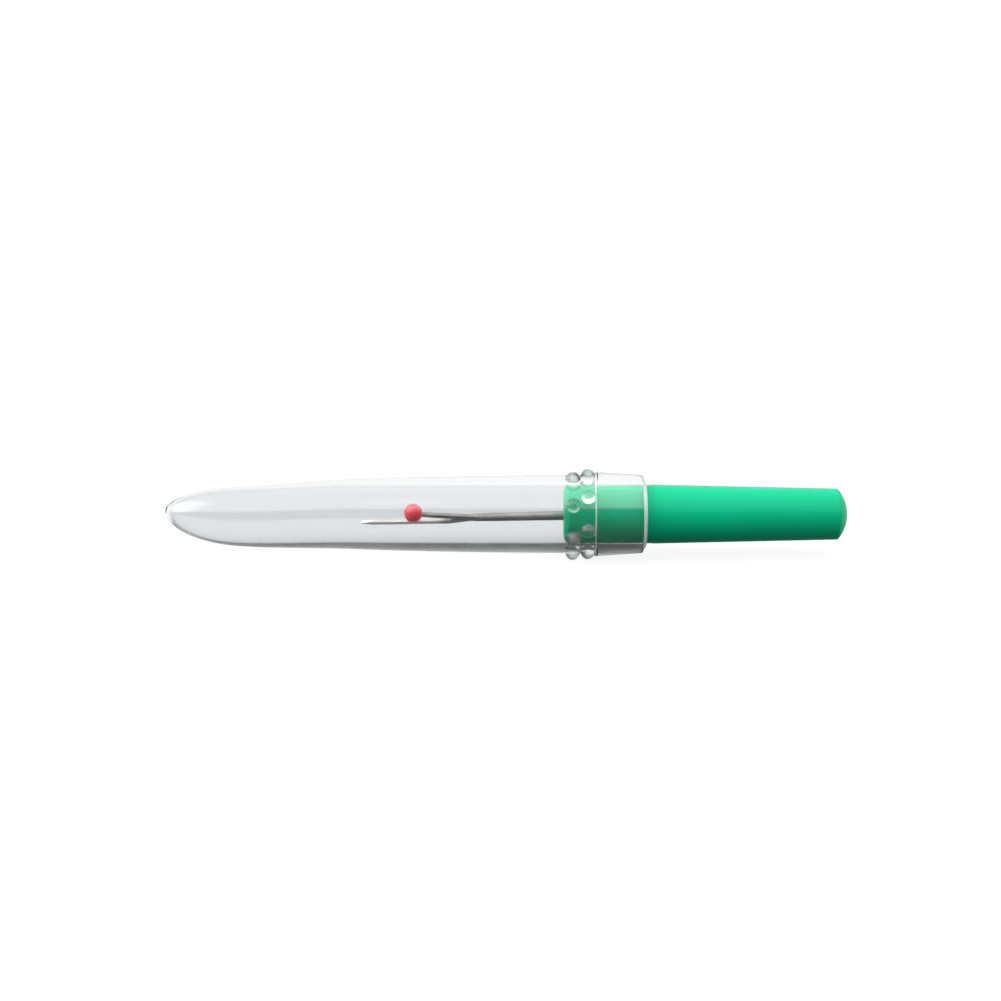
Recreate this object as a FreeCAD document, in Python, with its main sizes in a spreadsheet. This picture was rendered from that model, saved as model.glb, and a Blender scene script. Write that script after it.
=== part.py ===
"""A small seam ripper with a clear slip-on cap.

Four pieces: a green moulded handle, a steel blade with a forked front, a red bead on the short
tine, and a clear moulded cap that holds on the front of the handle by friction.

Units are millimetres. +X runs along the object from the cap's nose to the handle's domed end, and
+Z is up. The origin is under the middle of the object, on the surface that it lies on.
"""

import FreeCAD, Part  # FreeCAD has to be imported before Part
import math
import os

import Sketcher
from FreeCAD import Placement, Rotation, Vector

SIZES = {
    "on_axis": 0,
    # the height of the object's long axis over the surface that its nubs rest on
    "axis_height": 5.565,
    # handle: a straight seat for the cap, then a tapered grip with a domed end
    "handle_front": 7.35,
    "seat_radius": 3.72,
    "grip_start": 18.6,
    "grip_end": 42.3,
    "grip_end_radius": 3.25,
    "handle_tip": 43.5,
    "handle_front_round": 0.8,
    "handle_end_round": 0.25,
    # blade: a tang in the handle, a round shank and a flat fork
    "tang_end": 17.2,
    "shank_radius": 0.6,
    "neck": -3.6,
    "neck_radius": 0.53,
    "shank_front": -6.7,
    "shank_front_radius": 0.2,
    "fork_thickness": 0.42,
    "socket_grip": 0.02,
    # fork outline: places along the object, and distances from the shank's centre line
    "fork_shoulder": -7.2,
    "crotch": -6.9,
    "tine_root": -8.6,
    "tine_middle": -14.2,
    "tine_barb": -17.2,
    "tine_tip": -18.56,
    "short_tine_end": -11.9,
    "short_outer_shoulder": 1.12,
    "short_outer_end": 1.95,
    "short_inner_end": 1.3,
    "short_inner_root": 0.42,
    "short_crotch": 0.12,
    "long_crotch": 0.62,
    "long_inner_root": 0.8,
    "long_inner_middle": 0.8,
    "long_inner_barb": 0.6,
    "long_tip": 1.0,
    "long_outer_barb": 1.5,
    "long_outer_middle": 1.62,
    "long_outer_shoulder": 1.65,
    "crotch_round": 0.3,
    "shoulder_round": 1.5,
    # bead on the short tine
    "bead_radius": 1.18,
    "bead_place": -11.74,
    "bead_offset": 1.86,
    # cap: nose and body, each place with its outer radius, its cavity's radius and its sag
    "nose_centre": -33.3,
    "nose_length": 10.2,
    "nose_rise": 0.5,
    "nose_radius": 3.83,
    "nose_bore": 3.43,
    "nose_sag": 0.32,
    "nose_bore_length": 9.6,
    "fore": -26.6,
    "fore_radius": 4.13,
    "fore_bore": 3.57,
    "fore_sag": 0.17,
    "waist": -19.9,
    "waist_radius": 4.42,
    "waist_bore": 3.67,
    "middle": -8.4,
    "middle_radius": 4.78,
    "middle_bore": 3.75,
    "shoulder": 6.9,
    "shoulder_radius": 4.94,
    "shoulder_bore": 3.77,
    # cap: collar, mouth and nubs
    "collar_start": 11.25,
    "collar_start_radius": 4.97,
    "collar_radius": 5.38,
    "bevel_start": 17.35,
    "bevel_radius": 4.98,
    "mouth": 17.9,
    "mouth_radius": 3.95,
    "mouth_bore": 3.85,
    "collar_round": 0.15,
    "nub_radius": 0.95,
    "nub_distance": 4.89,
    "nub_count": 7,
    "front_row": 8.5,
    "rear_row": 10.4,
}

# Angles in degrees.
FORK_TURN = 138.7  # of the fork's plane about the shank, from lying flat
BLADE_DROOP = 1.2  # of the whole blade, because it is set a little crooked in the handle
FRONT_ROW_TURN = 6.43  # of each row's first nub about the axis, from straight up
REAR_ROW_TURN = -6.43
NOSE_STEPS = (14, 27, 39, 50, 60, 69, 77, 84)  # places round the nose's ellipse, towards its tip

doc = FreeCAD.newDocument("SeamRipper")
os.makedirs("parts", exist_ok=True)

sheet = doc.addObject("Spreadsheet::Sheet", "Sizes")
for row, (alias, value) in enumerate(SIZES.items(), start=1):
    sheet.set(f"A{row}", alias.replace("_", " "))
    sheet.set(f"B{row}", str(value))
    sheet.setAlias(f"B{row}", alias)
doc.recompute()


def number(total_of):
    """The value of a sum of cells, such as "mouth - nose_length"."""
    total, sign = 0.0, 1
    for word in total_of.split():
        if word in "+-":
            sign = 1 if word == "+" else -1
        else:
            total += sign * sheet.get(word)
    return total


def linked(total_of):
    """The same sum as an expression on the sheet."""
    return " ".join(word if word in "+-" else f"Sizes.{word}" for word in total_of.split())


def bind(thing, name, total_of):
    """Set a feature's size and bind it to the sheet."""
    setattr(thing, name, number(total_of))
    thing.setExpression(name, linked(total_of))


def new_body(name):
    body = doc.addObject("PartDesign::Body", name)
    body.Label = name
    return body


def origin_of(body, role):
    """One of a body's own origin planes or axes, such as XY_Plane or X_Axis."""
    part = next(o for o in body.Origin.OriginFeatures if o.Role == role)
    return (part, [""])


def new_sketch(body, name, plane):
    sketch = body.newObject("Sketcher::SketchObject", name)
    sketch.AttachmentSupport = origin_of(body, plane)
    sketch.MapMode = "FlatFace"
    return sketch


def fix_point(sketch, edge, vertex, x, y):
    """Hold one end of a sketch's edge at two sums of cells."""
    for kind, place in (("DistanceX", x), ("DistanceY", y)):
        index = sketch.addConstraint(
            Sketcher.Constraint(kind, -1, 1, edge, vertex, number(place))
        )
        sketch.setExpression(f"Constraints[{index}]", linked(place))


def draw_outline(sketch, corners):
    """A closed outline of straight lines through corners, each an (x, y) pair of sums."""
    points = [Vector(number(x), number(y), 0) for x, y in corners]
    count = len(points)
    for i in range(count):
        sketch.addGeometry(Part.LineSegment(points[i], points[(i + 1) % count]))
    for i, (x, y) in enumerate(corners):
        sketch.addConstraint(Sketcher.Constraint("Coincident", i, 2, (i + 1) % count, 1))
        fix_point(sketch, i, 1, x, y)


def draw_domed_outline(sketch, corners):
    """The same, with the last corner on the X axis and a dome up to it from the one before."""
    points = [Vector(number(x), number(y), 0) for x, y in corners]
    last = len(points) - 1
    for i in range(last - 1):
        sketch.addGeometry(Part.LineSegment(points[i], points[i + 1]))
    sketch.addGeometry(Part.LineSegment(points[last], points[0]))
    tip, rim = points[last], points[last - 1]
    depth = tip.x - rim.x
    radius = (depth * depth + rim.y * rim.y) / (2 * depth)
    circle = Part.Circle(Vector(tip.x - radius, 0, 0), Vector(0, 0, 1), radius)
    sketch.addGeometry(Part.ArcOfCircle(circle, 0, math.asin(rim.y / radius)))
    base_line, dome = last - 1, last
    for i in range(last - 2):
        sketch.addConstraint(Sketcher.Constraint("Coincident", i, 2, i + 1, 1))
    sketch.addConstraint(Sketcher.Constraint("Coincident", last - 2, 2, dome, 2))
    sketch.addConstraint(Sketcher.Constraint("Coincident", dome, 1, base_line, 1))
    sketch.addConstraint(Sketcher.Constraint("Coincident", base_line, 2, 0, 1))
    sketch.addConstraint(Sketcher.Constraint("PointOnObject", dome, 3, -1))
    for i in range(last - 1):
        fix_point(sketch, i, 1, *corners[i])
    fix_point(sketch, dome, 2, *corners[last - 1])
    fix_point(sketch, dome, 1, *corners[last])


def spin(body, kind, name, profile):
    """A Revolution or a Groove: a sketch turned once about the body's X axis."""
    feature = body.newObject(f"PartDesign::{kind}", name)
    feature.Profile = profile
    feature.ReferenceAxis = origin_of(body, "X_Axis")
    feature.Angle = 360
    return feature


def round_edges(body, base, name, size, wanted):
    """A Fillet on the edges of base whose middle point wanted() accepts."""
    doc.recompute()
    names = []
    for i, edge in enumerate(base.Shape.Edges, start=1):
        middle = edge.valueAt((edge.FirstParameter + edge.LastParameter) / 2)
        if wanted(middle):
            names.append(f"Edge{i}")
    feature = body.newObject("PartDesign::Fillet", name)
    feature.Base = (base, names)
    bind(feature, "Radius", size)
    return feature


def near(value, size):
    return abs(value - number(size)) < 0.01


def around_axis(middle):
    return math.hypot(middle.y, middle.z)


def blade_placement():
    """How the blade and its bead sit: turned about the shank, and drooping from the tang."""
    turn = Rotation(Vector(1, 0, 0), FORK_TURN)
    droop = Rotation(Vector(0, -1, 0), BLADE_DROOP)
    pivot = Vector(number("tang_end"), 0, 0)
    lift = Placement(Vector(0, 0, number("axis_height")), Rotation())
    return lift * Placement(Vector(), droop * turn, pivot)


def make_handle():
    body = new_body("handle")
    profile = new_sketch(body, "HandleProfile", "XY_Plane")
    draw_domed_outline(
        profile,
        [
            ("handle_front", "on_axis"),
            ("handle_front", "seat_radius"),
            ("grip_start", "seat_radius"),
            ("grip_end", "grip_end_radius"),
            ("handle_tip", "on_axis"),
        ],
    )
    bar = spin(body, "Revolution", "HandleBar", profile)
    front = round_edges(
        body, bar, "HandleFrontRound", "handle_front_round",
        lambda m: near(m.x, "handle_front") and near(around_axis(m), "seat_radius"),
    )
    round_edges(
        body, front, "HandleEndRound", "handle_end_round",
        lambda m: near(m.x, "grip_end") and near(around_axis(m), "grip_end_radius"),
    )
    body.Placement = Placement(Vector(0, 0, number("axis_height")), Rotation())
    return body


def add_socket(body, blade):
    """The blind hole that grips the tang, as crooked as the blade that sits in it."""
    socket = body.newObject("PartDesign::SubtractiveCylinder", "TangSocket")
    bind(socket, "Radius", "shank_radius - socket_grip")
    bind(socket, "Height", "tang_end - handle_front + handle_front_round")
    along = Placement(Vector(number("tang_end"), 0, 0), Rotation(Vector(0, -1, 0), 90))
    socket.Placement = body.Placement.inverse() * blade.Placement * along
    return socket


def make_blade():
    body = new_body("blade")
    profile = new_sketch(body, "ShankProfile", "XY_Plane")
    draw_outline(
        profile,
        [
            ("tang_end", "on_axis"),
            ("tang_end", "shank_radius"),
            ("handle_front", "shank_radius"),
            ("neck", "neck_radius"),
            ("shank_front", "shank_front_radius"),
            ("shank_front", "on_axis"),
        ],
    )
    spin(body, "Revolution", "Shank", profile)
    outline = new_sketch(body, "ForkOutline", "XY_Plane")
    draw_outline(
        outline,
        [
            ("neck", "neck_radius"),
            ("fork_shoulder", "short_outer_shoulder"),
            ("short_tine_end", "short_outer_end"),
            ("short_tine_end", "short_inner_end"),
            ("tine_root", "short_inner_root"),
            ("crotch", "short_crotch"),
            ("crotch", "- long_crotch"),
            ("tine_root", "- long_inner_root"),
            ("tine_middle", "- long_inner_middle"),
            ("tine_barb", "- long_inner_barb"),
            ("tine_tip", "- long_tip"),
            ("tine_barb", "- long_outer_barb"),
            ("tine_middle", "- long_outer_middle"),
            ("fork_shoulder", "- long_outer_shoulder"),
            ("neck", "- neck_radius"),
        ],
    )
    fork = body.newObject("PartDesign::Pad", "Fork")
    fork.Profile = outline
    bind(fork, "Length", "fork_thickness")
    fork.Midplane = True
    crotch = round_edges(
        body, fork, "CrotchRound", "crotch_round",
        lambda m: near(m.x, "crotch") and near(m.z, "on_axis"),
    )
    round_edges(
        body, crotch, "ShoulderRound", "shoulder_round",
        lambda m: near(m.x, "fork_shoulder") and near(m.z, "on_axis"),
    )
    body.Placement = blade_placement()
    return body


def make_bead():
    body = new_body("ball_tip")
    bead = body.newObject("PartDesign::AdditiveSphere", "Bead")
    bind(bead, "Radius", "bead_radius")
    bead.Placement = Placement(Vector(number("bead_place"), number("bead_offset"), 0), Rotation())
    body.Placement = blade_placement()
    return body


def ring(body, name, place, radius, lift):
    """A circle across the cap, given as three expressions on the sheet."""
    sketch = new_sketch(body, name, "YZ_Plane")
    sketch.addGeometry(Part.Circle(Vector(), Vector(0, 0, 1), 1))
    sketch.setExpression("AttachmentOffset.Base.z", place)
    sketch.addConstraint(Sketcher.Constraint("DistanceX", -1, 1, 0, 3, 0))
    for kind, points, size in (
        ("DistanceY", (-1, 1, 0, 3), lift),
        ("Radius", (0,), radius),
    ):
        index = sketch.addConstraint(Sketcher.Constraint(kind, *points, 1))
        sketch.setExpression(f"Constraints[{index}]", size)
    return sketch


def cap_rings(body, prefix, radius_of, nose_length):
    """The rings of the cap's outside or cavity, from the shoulder to the nose's tip."""
    rings = []
    for place, sag in (
        ("shoulder", "on_axis"),
        ("middle", "on_axis"),
        ("waist", "on_axis"),
        ("fore", "fore_sag"),
        ("nose", "nose_sag"),
    ):
        where = "Sizes.nose_centre" if place == "nose" else f"Sizes.{place}"
        radius = f"Sizes.{place}_{radius_of}"
        rings.append(ring(body, prefix + place.title(), where, radius, f"-Sizes.{sag}"))
    for angle in NOSE_STEPS:
        where = f"Sizes.nose_centre - Sizes.{nose_length} * sin({angle} deg)"
        radius = f"Sizes.nose_{radius_of} * cos({angle} deg)"
        lift = f"Sizes.nose_rise - (Sizes.nose_rise + Sizes.nose_sag) * cos({angle} deg)"
        rings.append(ring(body, f"{prefix}Nose{angle}", where, radius, lift))
    return rings


def loft(body, kind, name, rings):
    feature = body.newObject(f"PartDesign::{kind}", name)
    feature.Profile = rings[0]
    feature.Sections = rings[1:]
    feature.Ruled = True
    return feature


def nub_row(body, name, place, turn):
    """A row of small round nubs round the cap, like beads sunk into its wall."""
    nub = body.newObject("PartDesign::AdditiveSphere", name)
    bind(nub, "Radius", "nub_radius")
    angle = math.radians(turn)
    reach = number("nub_distance")
    across = Vector(number(place), -reach * math.sin(angle), reach * math.cos(angle))
    nub.Placement = Placement(across, Rotation())
    row = body.newObject("PartDesign::PolarPattern", name + "Row")
    row.Originals = [nub]
    row.Axis = origin_of(body, "X_Axis")
    row.Angle = 360
    row.Occurrences = int(number("nub_count"))
    body.Tip = row
    return row


def make_cap():
    body = new_body("cap")
    loft(body, "AdditiveLoft", "CapNose", cap_rings(body, "Outer", "radius", "nose_length"))
    profile = new_sketch(body, "CollarProfile", "XY_Plane")
    draw_outline(
        profile,
        [
            ("shoulder", "on_axis"),
            ("shoulder", "shoulder_radius"),
            ("collar_start", "collar_start_radius"),
            ("collar_start", "collar_radius"),
            ("bevel_start", "bevel_radius"),
            ("mouth", "mouth_radius"),
            ("mouth", "on_axis"),
        ],
    )
    collar = spin(body, "Revolution", "Collar", profile)
    round_edges(
        body, collar, "CollarRound", "collar_round",
        lambda m: near(m.x, "collar_start") and near(around_axis(m), "collar_radius"),
    )
    nub_row(body, "FrontNub", "front_row", FRONT_ROW_TURN)
    nub_row(body, "RearNub", "rear_row", REAR_ROW_TURN)
    loft(body, "SubtractiveLoft", "Cavity", cap_rings(body, "Inner", "bore", "nose_bore_length"))
    bore = new_sketch(body, "BoreProfile", "XY_Plane")
    draw_outline(
        bore,
        [
            ("shoulder", "on_axis"),
            ("shoulder", "shoulder_bore"),
            ("mouth", "mouth_bore"),
            ("mouth", "on_axis"),
        ],
    )
    spin(body, "Groove", "Bore", bore)
    body.Placement = Placement(Vector(0, 0, number("axis_height")), Rotation())
    return body


def check_all():
    """Stop if any object failed, or any piece isn't one valid solid."""
    doc.recompute()
    for thing in doc.Objects:
        if {"Invalid", "Error"} & set(thing.State):
            raise RuntimeError(f"{thing.Name} failed: {thing.State}")
    for body in bodies:
        shape = body.Shape
        if shape.isNull() or not shape.isValid() or len(shape.Solids) != 1:
            raise RuntimeError(f"{body.Label} isn't one valid solid")


handle = make_handle()
blade = make_blade()
bead = make_bead()
cap = make_cap()
doc.recompute()
solid_handle = handle.Shape.Volume
add_socket(handle, blade)
bodies = [handle, blade, bead, cap]
check_all()
if handle.Shape.Volume >= solid_handle:
    raise RuntimeError("the tang's socket cut nothing")

for body in bodies:
    body.Shape.exportStep(f"parts/{body.Label}.step")
    box = body.Shape.optimalBoundingBox()
    print(
        f"{body.Label}: {body.Shape.Volume:.1f} mm3,"
        f" x {box.XMin:.2f} to {box.XMax:.2f}, y {box.YMin:.2f} to {box.YMax:.2f},"
        f" z {box.ZMin:.2f} to {box.ZMax:.2f}"
    )
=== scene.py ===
"""Looks of a small seam ripper with a clear slip-on cap, built round its CAD frame.

Every length below is in metres. mm() turns a size in millimetres into metres.
"""

import math

import bpy
import numpy as np
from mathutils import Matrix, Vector


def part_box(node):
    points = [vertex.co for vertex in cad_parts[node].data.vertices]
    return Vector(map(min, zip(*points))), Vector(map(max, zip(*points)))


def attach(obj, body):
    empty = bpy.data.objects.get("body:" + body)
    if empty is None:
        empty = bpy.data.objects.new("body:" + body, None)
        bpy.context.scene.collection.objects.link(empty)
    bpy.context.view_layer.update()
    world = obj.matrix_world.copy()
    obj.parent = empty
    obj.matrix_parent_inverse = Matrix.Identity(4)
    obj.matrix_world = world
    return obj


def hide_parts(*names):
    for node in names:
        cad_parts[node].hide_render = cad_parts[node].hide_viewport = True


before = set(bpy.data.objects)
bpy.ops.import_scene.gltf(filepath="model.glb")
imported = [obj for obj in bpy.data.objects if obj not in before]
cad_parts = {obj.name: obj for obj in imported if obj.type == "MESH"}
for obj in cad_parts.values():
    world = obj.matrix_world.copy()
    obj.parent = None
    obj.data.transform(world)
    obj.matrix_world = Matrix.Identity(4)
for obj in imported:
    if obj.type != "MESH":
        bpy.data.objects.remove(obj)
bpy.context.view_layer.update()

AROUND = 384  # points round the cap, its edges and the handle


def mm(size):
    return size * 0.001


# ---------------------------------------------------------------- places read from the frame

HANDLE_LOW, HANDLE_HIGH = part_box("handle")
CAP_LOW, CAP_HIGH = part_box("cap")
BEAD_LOW, BEAD_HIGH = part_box("ball_tip")

AXIS_Z = (HANDLE_LOW.z + HANDLE_HIGH.z) / 2
SEAT_RADIUS = (HANDLE_HIGH.z - HANDLE_LOW.z) / 2
HANDLE_FRONT = HANDLE_LOW.x
HANDLE_TIP = HANDLE_HIGH.x
NOSE_TIP = CAP_LOW.x
MOUTH = CAP_HIGH.x


# ---------------------------------------------------------------- mesh helpers


def smoothstep(low, high, value):
    t = np.clip((value - low) / (high - low), 0, 1)
    return t * t * (3 - 2 * t)


def smooth_max(a, b, blend):
    """The larger of a and b, with a fillet about as large as blend where they cross."""
    h = np.clip(0.5 + 0.5 * (a - b) / blend, 0, 1)
    return b + (a - b) * h + blend * h * (1 - h)


def new_object(name, points, faces, material):
    mesh = bpy.data.meshes.new(name)
    mesh.from_pydata([tuple(p) for p in points], [], faces)
    mesh.polygons.foreach_set("use_smooth", [True] * len(mesh.polygons))
    mesh.materials.append(material)
    mesh.validate()
    mesh.update()
    piece = bpy.data.objects.new(name, mesh)
    bpy.context.scene.collection.objects.link(piece)
    return piece


def skin(name, rings, material):
    """A closed mesh over rings of points, each end drawn in to a single point."""
    rings = np.asarray(rings)
    count, around = rings.shape[:2]
    points = list(rings.reshape(-1, 3))
    faces = []
    for i in range(count - 1):
        here, there = i * around, (i + 1) * around
        for j in range(around):
            k = (j + 1) % around
            faces.append((here + j, here + k, there + k, there + j))
    for ring, flip in ((0, True), (count - 1, False)):
        middle = len(points)
        points.append(rings[ring].mean(axis=0))
        for j in range(around):
            edge = (ring * around + j, ring * around + (j + 1) % around)
            faces.append((*(reversed(edge) if flip else edge), middle))
    return new_object(name, points, faces, material)


def band(name, rings, material):
    """A mesh over rings of points, the last of them in the same place as the first."""
    rings = np.asarray(rings)[:-1]
    count, around = rings.shape[:2]
    faces = []
    for i in range(count):
        here, there = i * around, (i + 1) % count * around
        for j in range(around):
            k = (j + 1) % around
            faces.append((here + j, here + k, there + k, there + j))
    return new_object(name, rings.reshape(-1, 3), faces, material)


def turned_rings(places, radius_at, lift_at=lambda x: 0.0):
    """Rings about the object's long axis. radius_at(x, angles) gives a ring's radii."""
    angles = np.linspace(0, 2 * math.pi, AROUND, endpoint=False)
    rings = []
    for x in places:
        radii = radius_at(x, angles) * np.ones(AROUND)
        rings.append(
            np.stack(
                [
                    np.full(AROUND, x),
                    -radii * np.sin(angles),
                    AXIS_Z + lift_at(x) + radii * np.cos(angles),
                ],
                axis=1,
            )
        )
    return rings


def arc_points(centre, radius, start, end, steps):
    """Points (x, radius) along an arc in the outline's plane, angles in degrees."""
    for angle in np.radians(np.linspace(start, end, steps)):
        yield centre[0] + radius * math.cos(angle), centre[1] + radius * math.sin(angle)


# ---------------------------------------------------------------- materials


def step(tree, value, low, high, start, end):
    """A value's smooth way from start, where it is low, to end, where it is high."""
    edge = tree.nodes.new("ShaderNodeMapRange")
    edge.interpolation_type = "SMOOTHSTEP"
    for name, number in (
        ("From Min", low), ("From Max", high), ("To Min", start), ("To Max", end),
    ):
        edge.inputs[name].default_value = number
    tree.links.new(value, edge.inputs["Value"])
    return edge.outputs["Result"]


class Nodes:
    """A material's node tree, with a call for each kind of node that this script needs."""

    def __init__(self, name):
        self.material = bpy.data.materials.new(name)
        self.material.use_nodes = True
        self.tree = self.material.node_tree
        self.shader = self.tree.nodes["Principled BSDF"]

    def link(self, output, target):
        self.tree.links.new(output, target)

    def values(self, **sockets):
        for name, value in sockets.items():
            self.shader.inputs[name.replace("_", " ")].default_value = value

    def add(self, kind, **settings):
        node = self.tree.nodes.new(kind)
        for name, value in settings.items():
            setattr(node, name, value)
        return node

    def place(self, scale=(1, 1, 1), shift=(0, 0, 0)):
        """Where a point is on the piece, in metres, stretched by scale and then shifted."""
        coordinates = self.add("ShaderNodeTexCoord")
        mapping = self.add("ShaderNodeMapping")
        mapping.inputs["Scale"].default_value = scale
        mapping.inputs["Location"].default_value = shift
        self.link(coordinates.outputs["Object"], mapping.inputs["Vector"])
        return mapping.outputs["Vector"]

    def along(self, axis):
        """How far along X, Y or Z a point is on the piece."""
        split = self.add("ShaderNodeSeparateXYZ")
        self.link(self.place(), split.inputs["Vector"])
        return split.outputs[axis]

    def from_axis(self):
        """How far a point is from the object's long axis."""
        away = self.add("ShaderNodeVectorMath", operation="LENGTH")
        self.link(self.place(scale=(0, 1, 1), shift=(0, 0, -AXIS_Z)), away.inputs[0])
        return away.outputs["Value"]

    def noise(self, scale, detail=2.0, stretch=(1, 1, 1)):
        noise = self.add("ShaderNodeTexNoise")
        noise.inputs["Scale"].default_value = scale
        noise.inputs["Detail"].default_value = detail
        self.link(self.place(stretch), noise.inputs["Vector"])
        return noise.outputs["Fac"]

    def spread(self, value, low, high):
        """A noise value, about 0.3 to 0.7, spread from low to high."""
        between = self.add("ShaderNodeMapRange")
        between.inputs["From Min"].default_value = 0.3
        between.inputs["From Max"].default_value = 0.7
        between.inputs["To Min"].default_value = low
        between.inputs["To Max"].default_value = high
        self.link(value, between.inputs["Value"])
        return between.outputs["Result"]

    def ramp(self, value, stops):
        ramp = self.add("ShaderNodeValToRGB")
        elements = ramp.color_ramp.elements
        while len(elements) < len(stops):
            elements.new(0.5)
        for element, (place, colour) in zip(elements, stops):
            element.position = place
            element.color = (*colour, 1)
        self.link(value, ramp.inputs["Fac"])
        return ramp.outputs["Color"]

    def multiply_add(self, value, factor, base):
        """value times factor, plus base. Each is a number or another node's output."""
        node = self.add("ShaderNodeMath", operation="MULTIPLY_ADD")
        for socket, term in zip(node.inputs, (value, factor, base)):
            if isinstance(term, (int, float)):
                socket.default_value = term
            else:
                self.link(term, socket)
        return node.outputs[0]

    def bump(self, height, strength, distance):
        bump = self.add("ShaderNodeBump")
        bump.inputs["Strength"].default_value = strength
        bump.inputs["Distance"].default_value = distance
        self.link(height, bump.inputs["Height"])
        return bump.outputs["Normal"]


def green_plastic():
    """Moulded green plastic: satin, with a fine mould texture and faint flow along the bar."""
    nodes = Nodes("green_plastic")
    nodes.values(
        IOR=1.5,
        Specular_IOR_Level=0.12,
        Subsurface_Weight=0.12,
        Subsurface_Radius=(0.15, 1.0, 0.5),
        Subsurface_Scale=mm(0.6),
    )
    flow = nodes.noise(260, detail=3.0, stretch=(0.25, 1, 1))
    colour = nodes.ramp(flow, ((0.3, (0.0, 0.405, 0.197)), (0.7, (0.0, 0.43, 0.213))))
    nodes.link(colour, nodes.shader.inputs["Base Color"])
    wear = nodes.noise(900, detail=4.0)
    nodes.link(nodes.spread(wear, 0.33, 0.45), nodes.shader.inputs["Roughness"])
    grain = nodes.noise(9000, detail=2.0)
    nodes.link(nodes.bump(grain, 0.12, mm(0.01)), nodes.shader.inputs["Normal"])
    return nodes.material


def red_plastic():
    """The bead's glossy red plastic, a little uneven in colour, with a soft skin."""
    nodes = Nodes("red_plastic")
    nodes.values(
        IOR=1.5,
        Coat_Weight=0.3,
        Coat_Roughness=0.06,
        Subsurface_Weight=0.2,
        Subsurface_Radius=(1.0, 0.2, 0.15),
        Subsurface_Scale=mm(0.4),
    )
    cloud = nodes.noise(1100, detail=3.0)
    colour = nodes.ramp(cloud, ((0.3, (0.66, 0.03, 0.05)), (0.7, (0.77, 0.055, 0.08))))
    nodes.link(colour, nodes.shader.inputs["Base Color"])
    nodes.link(nodes.spread(cloud, 0.2, 0.34), nodes.shader.inputs["Roughness"])
    dimples = nodes.noise(2600, detail=2.0)
    nodes.link(nodes.bump(dimples, 0.25, mm(0.03)), nodes.shader.inputs["Normal"])
    return nodes.material


def blade_steel():
    """Drawn steel wire, dull and with fine lines along it, and ground brighter on the long tine."""
    nodes = Nodes("blade_steel")
    nodes.values(Metallic=1.0, Anisotropic=0.4)
    across = nodes.add("ShaderNodeVectorMath", operation="DOT_PRODUCT")
    across.inputs[1].default_value = (0, -math.cos(FORK_TURN), -math.sin(FORK_TURN))
    nodes.link(nodes.place(shift=(0, 0, -AXIS_Z)), across.inputs[0])
    long_side = step(nodes.tree, across.outputs["Value"], *LONG_TINE_EDGE, 0, 1)
    front = step(nodes.tree, nodes.along("X"), *GRINDING_END, 1, 0)
    ground = nodes.multiply_add(long_side, front, 0)
    patches = nodes.noise(500, detail=4.0)
    drawn = nodes.ramp(patches, ((0.3, (0.30, 0.285, 0.27)), (0.7, (0.38, 0.365, 0.35))))
    colour = nodes.add("ShaderNodeVectorMath", operation="SCALE")
    nodes.link(drawn, colour.inputs[0])
    nodes.link(nodes.multiply_add(ground, GROUND_BRIGHTER, 1), colour.inputs["Scale"])
    nodes.link(colour.outputs["Vector"], nodes.shader.inputs["Base Color"])
    lines = nodes.noise(9000, detail=3.0, stretch=(0.04, 1, 1))
    dull = nodes.spread(lines, 0.55, 0.7)
    roughness = nodes.multiply_add(ground, -GROUND_SMOOTHER, dull)
    nodes.link(roughness, nodes.shader.inputs["Roughness"])
    nodes.link(nodes.bump(lines, 0.2, mm(0.008)), nodes.shader.inputs["Normal"])
    return nodes.material


def clear_plastic():
    """Clear moulded plastic with a cool tint, faint ripples from the mould and duller nubs."""
    nodes = Nodes("clear_plastic")
    nodes.values(Base_Color=(0.925, 0.942, 0.952, 1), IOR=1.5, Transmission_Weight=1.0)
    proud = step(nodes.tree, nodes.from_axis(), BODY_RADIUS, BODY_RADIUS + mm(0.2), 0, 1)
    extra = NUB_ROUGHNESS - CAP_ROUGHNESS
    nubs = step(nodes.tree, nodes.along("X"), COLLAR_START - mm(0.1), COLLAR_START, extra, 0)
    roughness = nodes.multiply_add(proud, nubs, CAP_ROUGHNESS)
    nodes.link(roughness, nodes.shader.inputs["Roughness"])
    ripple = nodes.noise(420, detail=2.0, stretch=(0.35, 1, 1))
    nodes.link(nodes.bump(ripple, 0.06, mm(0.05)), nodes.shader.inputs["Normal"])
    return nodes.material


def edge_highlight_haze(name, haze):
    """The same plastic with a painted highlight: a thin white haze over what is behind it, standing
    in for the bright strip of light along a worked edge.
    """
    nodes = Nodes(name)
    nodes.values(Base_Color=(0.93, 0.99, 0.98, 1), IOR=1.45, Alpha=haze)
    wear = nodes.noise(1500, detail=4.0)
    nodes.link(nodes.spread(wear, 0.4, 0.65), nodes.shader.inputs["Roughness"])
    return nodes.material


# ---------------------------------------------------------------- cap

NOSE_CENTRE = mm(-33.3)
NOSE_RISE = mm(0.5)
NOSE_SAG = mm(0.32)
WAIST = mm(-19.9)
COLLAR_START = mm(11.25)
COLLAR_RADIUS = mm(5.38)
STEP_ROUND = mm(0.22)
STEP_FOOT = mm(0.1)  # how far over the body the step's painted highlight begins
BODY_RADIUS = mm(4.97)
BODY_TAPER = 3.2e-4  # how fast the body narrows forwards, worked out in millimetres
BODY_TAPER_POWER = 2.15
NOSE_POWER = 2.4
BEVEL_START = mm(17.35)
BEVEL_RADIUS = mm(4.98)
MOUTH_RADIUS = mm(3.95)
MOUTH_BORE = mm(3.85)
SHOULDER = mm(6.9)
SHOULDER_BORE = mm(3.77)
BORE_TAPER = mm(0.34)  # how much narrower the cavity is where the nose begins
BORE_TAPER_POWER = 3
CAVITY_END = mm(-42.9)
NUB_ROWS = ((mm(8.5), 6.43), (mm(10.4), -6.43))  # place, and the first nub's angle from the top
NUB_COUNT = 7
NUB_RADIUS = mm(0.95)
NUB_HEIGHT = mm(0.87)
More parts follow.
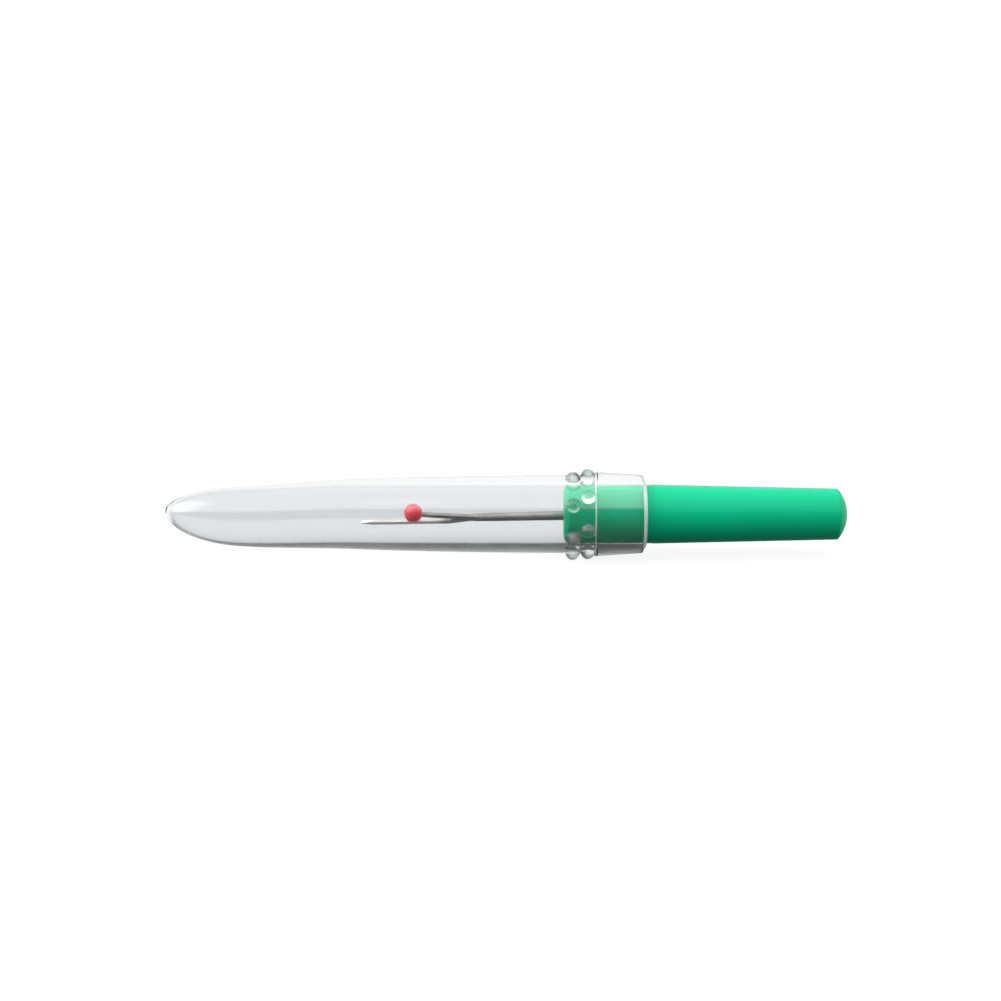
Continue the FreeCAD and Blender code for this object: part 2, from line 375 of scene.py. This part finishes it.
NUB_FLATNESS = 2.4  # the higher, the flatter a nub's top is: a ball has 2
NUB_SLOPE = 0.8  # the higher, the gentler its sides are: a ball has 0.5
NUBS_START = mm(7.35)  # ahead of this the cap's wall is plain
NUB_RING_GAP = mm(0.07)  # between rings of points where the nubs are
# thickness of the skins that carry the painted highlights on the mouth and the step
HIGHLIGHT_SKIN_THICKNESS = mm(0.004)
MOUTH_HAZE = 0.4  # how much the painted highlight on the mouth and the step hides what is behind it
STEP_HAZE = 0.15
CAP_ROUGHNESS = 0.05
NUB_ROUGHNESS = 0.38


def body_radius(x):
    """The cap's outer radius, from its collar to where its nose begins, and on inside the nose."""
    along = np.maximum(COLLAR_START - x, 0) * 1000
    return BODY_RADIUS - mm(BODY_TAPER * along**BODY_TAPER_POWER)


def nose_factor(x, tip):
    """1 along the body, falling round to 0 at the tip."""
    share = np.clip((NOSE_CENTRE - x) / (NOSE_CENTRE - tip), 0, 1)
    return np.sqrt(np.maximum(1 - share**NOSE_POWER, 0))


def nose_lift(x, tip):
    """How far a ring's centre is above the axis: the nose sags, and its tip rises."""
    if x >= NOSE_CENTRE:
        return float(-NOSE_SAG * smoothstep(0, 1, (WAIST - x) / (WAIST - NOSE_CENTRE)))
    share = min((NOSE_CENTRE - x) / (NOSE_CENTRE - tip), 1)
    return NOSE_RISE - (NOSE_RISE + NOSE_SAG) * math.sqrt(1 - share * share)


def nose_places(tip, steps):
    """Places along the nose from its tip, closer together where it curves most."""
    for angle in np.linspace(math.pi / 2, 0, steps, endpoint=False)[1:]:
        yield NOSE_CENTRE - (NOSE_CENTRE - tip) * math.sin(angle) ** (2 / NOSE_POWER)


def nub_height(x, angles):
    """The nubs' height over the cap's wall."""
    height = np.zeros_like(angles)
    pitch = 2 * math.pi / NUB_COUNT
    for place, first in NUB_ROWS:
        turn = angles - math.radians(first)
        turn = (turn + pitch / 2) % pitch - pitch / 2
        across = turn * BODY_RADIUS
        away = np.sqrt(across**2 + (x - place) ** 2) / NUB_RADIUS
        dome = NUB_HEIGHT * np.maximum(1 - away**NUB_FLATNESS, 0) ** NUB_SLOPE
        height = np.maximum(height, dome)
    return height


def cap_outside(x, angles):
    radius = body_radius(x) * nose_factor(x, NOSE_TIP)
    if x >= NUBS_START:
        return radius + nub_height(x, angles)
    return radius


def no_body(x, angles):
    """In place of cap_outside where the collar's own outline is all there is."""
    return np.zeros_like(angles)


def cap_bore(x, angles):
    """The cavity's radius: a snug bore behind the shoulder, then a wall that thins forwards."""
    if x >= SHOULDER:
        share = (x - SHOULDER) / (MOUTH - SHOULDER)
        return SHOULDER_BORE + (MOUTH_BORE - SHOULDER_BORE) * share
    share = (SHOULDER - x) / (SHOULDER - NOSE_CENTRE)
    bore = SHOULDER_BORE - BORE_TAPER * share**BORE_TAPER_POWER
    return bore * nose_factor(x, CAVITY_END)


def bevel_points(start, end, count):
    """Points (x, radius) down the mouth's bevel, from one share of its length to another."""
    for share in np.linspace(start, end, count):
        yield (
            BEVEL_START + (MOUTH - BEVEL_START) * share,
            BEVEL_RADIUS + (MOUTH_RADIUS - BEVEL_RADIUS) * share,
        )


def collar_outline():
    """The collar from its step to the bore: step, long taper, bevel and mouth, edges eased."""
    edge = STEP_ROUND
    slope = (BEVEL_RADIUS - COLLAR_RADIUS) / (BEVEL_START - COLLAR_START)
    yield COLLAR_START, BODY_RADIUS + mm(0.02)
    yield COLLAR_START, BODY_RADIUS + STEP_FOOT
    yield COLLAR_START, COLLAR_RADIUS - edge * 1.1
    yield from arc_points((COLLAR_START + edge, COLLAR_RADIUS - edge), edge, 180, 88, 7)
    for x in np.linspace(COLLAR_START + mm(0.3), BEVEL_START - mm(0.15), 14):
        yield x, COLLAR_RADIUS + slope * (x - COLLAR_START)
    yield BEVEL_START - mm(0.06), BEVEL_RADIUS - mm(0.008)
    yield from bevel_points(0.06, 0.96, 7)
    yield MOUTH - mm(0.01), MOUTH_RADIUS - mm(0.02)
    yield MOUTH, MOUTH_RADIUS - mm(0.04)
    yield MOUTH, MOUTH_BORE + mm(0.03)
    yield MOUTH - mm(0.02), MOUTH_BORE + mm(0.005)


def make_cap(material):
    nub_zone = np.arange(NUBS_START, COLLAR_START - mm(0.03), NUB_RING_GAP)
    outside = [
        *nose_places(NOSE_TIP, 40),
        *np.linspace(NOSE_CENTRE, NUBS_START - mm(0.15), 32),
        *nub_zone,
    ]
    rings = turned_rings(outside, cap_outside, lambda x: nose_lift(x, NOSE_TIP))
    for x, radius in collar_outline():
        wall = cap_outside if x <= COLLAR_START else no_body
        rings += turned_rings([x], lambda x, angles: np.maximum(radius, wall(x, angles)))
    inside = [
        *np.linspace(MOUTH - mm(0.1), SHOULDER, 8),
        *np.linspace(SHOULDER - mm(0.4), NOSE_CENTRE, 32),
        *reversed(list(nose_places(CAVITY_END, 30))),
    ]
    rings += turned_rings(inside, cap_bore, lambda x: nose_lift(x, CAVITY_END))
    cap = skin("clear_cap", rings, material)
    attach(cap, "cap")
    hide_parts("cap")


def make_highlight_skin(name, outline, material):
    """A skin, a few microns thick, just over one of the cap's worked edges, that carries a painted
    highlight.
    """
    outline = np.array(outline)
    along = np.gradient(outline, axis=0)
    normals = np.stack([-along[:, 1], along[:, 0]], axis=1)
    normals /= np.linalg.norm(normals, axis=1)[:, None]
    outer = outline + normals * HIGHLIGHT_SKIN_THICKNESS * 2
    inner = (outline + normals * HIGHLIGHT_SKIN_THICKNESS)[::-1]
    loop = np.concatenate([outer, inner, outer[:1]])
    rings = [ring for x, r in loop for ring in turned_rings([x], lambda _, a: np.full_like(a, r))]
    piece = band(name, rings, material)
    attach(piece, "cap")


def make_edge_highlights():
    # pale skins painted over the mouth's bevel and the step as highlights
    bevel = list(bevel_points(0.08, 0.95, 8))
    make_highlight_skin("mouth_highlight", bevel, edge_highlight_haze("mouth_highlight", MOUTH_HAZE))
    edge = STEP_ROUND
    centre = (COLLAR_START + edge, COLLAR_RADIUS - edge)
    outline = [(COLLAR_START, BODY_RADIUS + STEP_FOOT), *arc_points(centre, edge, 180, 95, 7)]
    make_highlight_skin("step_highlight", outline, edge_highlight_haze("step_highlight", STEP_HAZE))


# ---------------------------------------------------------------- handle

GRIP_START = mm(18.6)
GRIP_END = mm(42.3)
GRIP_END_RADIUS = mm(3.25)
GRIP_STEP = mm(0.04)  # a witness line where the seat ends
FRONT_ROUND = mm(0.8)
DOME_EASE = mm(0.16)  # how far the dome's rim is rounded
DOME_EASE_TURN = 2.6  # degrees of the dome that the rounding takes up
PARTING_ANGLE = math.radians(-19.3)  # from straight up, towards the back
PARTING_HEIGHT = mm(0.018)
PARTING_WIDTH = mm(0.09)
GATE_RADIUS = mm(0.55)
GATE_DEPTH = mm(0.1)


def handle_outline():
    """Front face, rounded front edge, seat, tapered grip and domed end."""
    for share in np.linspace(0.02, 1, 8):
        yield HANDLE_FRONT, (SEAT_RADIUS - FRONT_ROUND) * share
    centre = (HANDLE_FRONT + FRONT_ROUND, SEAT_RADIUS - FRONT_ROUND)
    yield from list(arc_points(centre, FRONT_ROUND, 180, 90, 13))[1:]
    for x in np.linspace(HANDLE_FRONT + mm(1), GRIP_START, 24):
        yield x, SEAT_RADIUS
    grip_radius = SEAT_RADIUS + GRIP_STEP
    slope = (GRIP_END_RADIUS - grip_radius) / (GRIP_END - GRIP_START)
    for x in np.linspace(GRIP_START + mm(0.03), GRIP_END - mm(0.25), 40):
        yield x, grip_radius + slope * (x - GRIP_START)
    depth = HANDLE_TIP - GRIP_END
    dome = (depth * depth + GRIP_END_RADIUS**2) / (2 * depth)
    centre = HANDLE_TIP - dome
    rim = math.degrees(math.asin(GRIP_END_RADIUS / dome))
    yield GRIP_END - DOME_EASE * 0.4, GRIP_END_RADIUS - mm(0.005)
    yield GRIP_END + DOME_EASE * 0.12, GRIP_END_RADIUS - mm(0.045)
    for x, radius in arc_points((centre, 0), dome, rim - DOME_EASE_TURN, 0.2, 40):
        yield x - GATE_DEPTH * (1 - smoothstep(GATE_RADIUS * 0.75, GATE_RADIUS, radius)), radius


def parting_line(angles):
    """The height of the fine ridges that the two halves of the mould leave."""
    away = np.remainder(angles - PARTING_ANGLE + math.pi / 2, math.pi) - math.pi / 2
    return PARTING_HEIGHT * np.exp(-((away * SEAT_RADIUS / PARTING_WIDTH) ** 2))


def make_handle(material):
    rings = []
    for x, radius in handle_outline():
        ridged = HANDLE_FRONT + FRONT_ROUND < x < GRIP_END
        rings += turned_rings(
            [x], lambda _, angles: radius + (parting_line(angles) if ridged else 0 * angles)
        )
    handle = skin("green_handle", rings, material)
    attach(handle, "handle")
    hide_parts("handle")


# ---------------------------------------------------------------- blade and bead

FORK_TURN = math.radians(138.7)
LONG_TINE_EDGE = (mm(0.2), mm(0.6))  # off the axis, where the ground finish fades in
GRINDING_END = (mm(-9), mm(-7.5))  # along the object, where it fades out
GROUND_BRIGHTER = 0.6  # share by which the ground steel is brighter than the drawn
GROUND_SMOOTHER = 0.25  # how much less rough it is
SHORT_TINE_SLOPE = math.radians(11)
BEAD_RADIUS = (BEAD_HIGH.z - BEAD_LOW.z) / 2
SEAM_HEIGHT = mm(0.012)
SEAM_WIDTH = mm(0.06)
NECK_START = 0.8  # as a share of the bead's radius
NECK_RADIUS = mm(0.42)
NECK_TAPER = 0.6  # share of that radius lost by the neck's far end


def worked(source, name, modifiers, material):
    """A new object from a CAD node's shape after some modifiers. The node stays as it is."""
    copy = bpy.data.objects.new("copy", source.data.copy())
    copy.matrix_world = source.matrix_world
    bpy.context.scene.collection.objects.link(copy)
    for kind, settings in modifiers:
        modifier = copy.modifiers.new(kind, kind)
        for key, value in settings.items():
            setattr(modifier, key, value)
    bpy.context.view_layer.update()
    done = copy.evaluated_get(bpy.context.evaluated_depsgraph_get())
    mesh = bpy.data.meshes.new_from_object(done)
    mesh.transform(copy.matrix_world)
    bpy.data.objects.remove(copy)
    mesh.name = name
    mesh.materials.clear()
    mesh.materials.append(material)
    mesh.polygons.foreach_set("use_smooth", [True] * len(mesh.polygons))
    piece = bpy.data.objects.new(name, mesh)
    bpy.context.scene.collection.objects.link(piece)
    return piece


def make_blade(material):
    """The forked wire with its edges eased and its round shank running smoothly into the fork."""
    blade = worked(
        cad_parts["blade"],
        "forked_blade",
        [
            ("REMESH", {"mode": "VOXEL", "voxel_size": mm(0.05)}),
            ("SMOOTH", {"factor": 0.5, "iterations": 6}),
        ],
        material,
    )
    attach(blade, "handle")
    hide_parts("blade")


def make_bead(material):
    """The moulded ball: a faint seam round its middle, and a short neck on the tine."""
    middle = (BEAD_LOW + BEAD_HIGH) / 2
    across = Vector((0, math.cos(FORK_TURN), math.sin(FORK_TURN)))
    forward = Vector((-math.cos(SHORT_TINE_SLOPE), 0, 0)) + across * math.sin(SHORT_TINE_SLOPE)
    side = forward.cross(across).normalized()
    other = side.cross(forward).normalized()
    angles = np.linspace(0, 2 * math.pi, 96, endpoint=False)
    rings = []
    for turn in np.radians(np.linspace(178, 2, 61)):
        along = math.cos(turn) * BEAD_RADIUS
        radius = math.sin(turn) * BEAD_RADIUS
        radius += SEAM_HEIGHT * math.exp(-((along / SEAM_WIDTH) ** 2))
        if along < -NECK_START * BEAD_RADIUS:
            share = (-along / BEAD_RADIUS - NECK_START) / (1 - NECK_START)
            neck = NECK_RADIUS * (1 - NECK_TAPER * share)
            radius = float(smooth_max(radius, neck, mm(0.12)))
        centre = middle + forward * along
        rings.append(
            [centre + radius * (math.cos(a) * other + math.sin(a) * side) for a in angles]
        )
    bead = skin("red_bead", rings, material)
    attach(bead, "handle")
    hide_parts("ball_tip")


# ---------------------------------------------------------------- stage, light and camera

VIEW_ELEVATION = math.radians(19.3)
VIEW_DISTANCE = mm(350)
VIEW_WIDTH = mm(127.7)  # what the picture's width takes in, at the object
VIEW_AIM = (mm(-0.70), mm(1.72))  # the aim's place along the object, and above its axis
FLOOR_SIZE = 6
FLOOR_COLOUR = 0.12
FLOOR_GLOW = 0.88  # of the floor where it is seen straight
FLOOR_GLOW_THROUGH = 0.6  # and where it is seen through the cap
FLOOR_GLOW_BEHIND = 0.8  # of the floor well behind the object, as a light
FLOOR_GLOW_STARTS = (mm(-5), mm(14))  # where that starts and where it is full
BACKDROP = 1.03  # of the dome where it is seen straight
BACKDROP_THROUGH = 0.77  # and where it is seen through the cap
BRIGHT_OVERHEAD = 2.1
BRIGHT_BEHIND = 1.0
DIM_SIDE = 0.2
LIGHT_EDGE = 37.5  # degrees of the overhead light's lower edge above the viewer's horizon
LIGHT_EDGE_BLUR = 0.11  # half the width of its fading, as a cosine
LIGHT_BACK_EDGE = 125  # degrees of its other edge, counted the same way, over the top
LIGHT_BACK_EDGE_BLUR = 0.35
NOSE_LAMP = (-0.75, -0.1, 0.6)  # towards a soft lamp beyond the cap's nose
NOSE_LAMP_EDGE = (0.8, 0.97)  # how closely a ray must face the lamp to see it begin, and whole
NOSE_LAMP_POWER = 2.5


def seen_directly(tree):
    """Two values, each 1 or 0: whether a ray comes from the camera straight, and whether it
    comes from it through clear plastic alone."""

    def math_node(operation, first, second):
        node = tree.nodes.new("ShaderNodeMath")
        node.operation = operation
        for socket, value in zip(node.inputs, (first, second)):
            if isinstance(value, float):
                socket.default_value = value
            else:
                tree.links.new(value, socket)
        return node.outputs[0]

    path = tree.nodes.new("ShaderNodeLightPath").outputs
    bounces = math_node("ADD", path["Diffuse Depth"], path["Glossy Depth"])
    unturned = math_node("LESS_THAN", bounces, 0.5)
    through = math_node("MULTIPLY", unturned, path["Is Transmission Ray"])
    return path["Is Camera Ray"], through


def choose(tree, lighting, straight, through):
    """A brightness by kind of ray: as a light, seen straight, and seen through the plastic."""
    seen_straight, seen_through = seen_directly(tree)
    value = lighting
    for factor, brightness in ((seen_straight, straight), (seen_through, through)):
        mix = tree.nodes.new("ShaderNodeMix")
        mix.data_type = "FLOAT"
        tree.links.new(factor, mix.inputs["Factor"])
        tree.links.new(value, mix.inputs["A"])
        mix.inputs["B"].default_value = brightness
        value = mix.outputs["Result"]
    return value


def make_floor():
    """A floor that looks pale. The glow that makes it so lights nothing. Only the floor behind
    the object lights it, so the underside of things stays dark."""
    bpy.ops.mesh.primitive_plane_add(size=FLOOR_SIZE, location=(0, 0, 0))
    floor = bpy.context.object
    floor.name = "floor"
    nodes = Nodes("pale_floor")
    nodes.values(
        Base_Color=(FLOOR_COLOUR, FLOOR_COLOUR, FLOOR_COLOUR, 1),
        Roughness=1.0,
        Specular_IOR_Level=0.0,
        Emission_Color=(1, 1, 1, 1),
    )
    lighting = step(nodes.tree, nodes.along("Y"), *FLOOR_GLOW_STARTS, 0, FLOOR_GLOW_BEHIND)
    glow = choose(nodes.tree, lighting, FLOOR_GLOW, FLOOR_GLOW_THROUGH)
    nodes.link(glow, nodes.shader.inputs["Emission Strength"])
    floor.data.materials.append(nodes.material)


def make_world():
    """A dome of soft light, bright above and behind and dim on the viewer's side."""
    world = bpy.data.worlds.new("soft_dome")
    bpy.context.scene.world = world
    world.use_nodes = True
    tree = world.node_tree
    background = tree.nodes["Background"]
    background.inputs["Color"].default_value = (1, 1, 1, 1)

    def facing(direction):
        """How closely a ray's direction agrees with the given one, from -1 to 1."""
        coordinates = tree.nodes.new("ShaderNodeTexCoord")
        dot = tree.nodes.new("ShaderNodeVectorMath")
        dot.operation = "DOT_PRODUCT"
        dot.inputs[1].default_value = Vector(direction).normalized()
        tree.links.new(coordinates.outputs["Generated"], dot.inputs[0])
        return dot.outputs["Value"]

    def above(degrees):
        """Towards the part of the dome past an angle counted from the viewer's horizon."""
        tilt = math.radians(degrees)
        return facing((0, math.sin(tilt), math.cos(tilt)))

    def edge(degrees, blur, start, end):
        return step(tree, above(degrees), -blur, blur, start, end)

    front = edge(LIGHT_EDGE, LIGHT_EDGE_BLUR, DIM_SIDE, BRIGHT_OVERHEAD)
    back = edge(LIGHT_BACK_EDGE, LIGHT_BACK_EDGE_BLUR, 0, BRIGHT_OVERHEAD - BRIGHT_BEHIND)
    dome = tree.nodes.new("ShaderNodeMath")
    dome.operation = "SUBTRACT"
    tree.links.new(front, dome.inputs[0])
    tree.links.new(back, dome.inputs[1])
    lamp = step(tree, facing(NOSE_LAMP), *NOSE_LAMP_EDGE, 0, NOSE_LAMP_POWER)
    both = tree.nodes.new("ShaderNodeMath")
    both.operation = "ADD"
    tree.links.new(dome.outputs[0], both.inputs[0])
    tree.links.new(lamp, both.inputs[1])
    brightness = choose(tree, both.outputs[0], BACKDROP, BACKDROP_THROUGH)
    tree.links.new(brightness, background.inputs["Strength"])


def make_camera():
    toward = Vector((0, -math.cos(VIEW_ELEVATION), math.sin(VIEW_ELEVATION)))
    upward = Vector((0, math.sin(VIEW_ELEVATION), math.cos(VIEW_ELEVATION)))
    aim = Vector((VIEW_AIM[0], 0, AXIS_Z)) + upward * VIEW_AIM[1]
    camera = bpy.data.objects.new("camera", bpy.data.cameras.new("camera"))
    bpy.context.scene.collection.objects.link(camera)
    camera.location = aim + toward * VIEW_DISTANCE
    camera.rotation_euler = (math.pi / 2 - VIEW_ELEVATION, 0, 0)
    camera.data.lens = camera.data.sensor_width * VIEW_DISTANCE / VIEW_WIDTH
    camera.data.clip_start = mm(10)
    camera.data.clip_end = 20
    bpy.context.scene.camera = camera


# ---------------------------------------------------------------- the whole scene

make_cap(clear_plastic())
# painted highlights on the cap's mouth and step
make_edge_highlights()
make_handle(green_plastic())
make_blade(blade_steel())
make_bead(red_plastic())
make_floor()
make_world()
make_camera()
bpy.context.scene.view_settings.view_transform = "Standard"
bpy.context.scene.cycles.blur_glossy = 0  # or the handle inside the cap comes out too dark
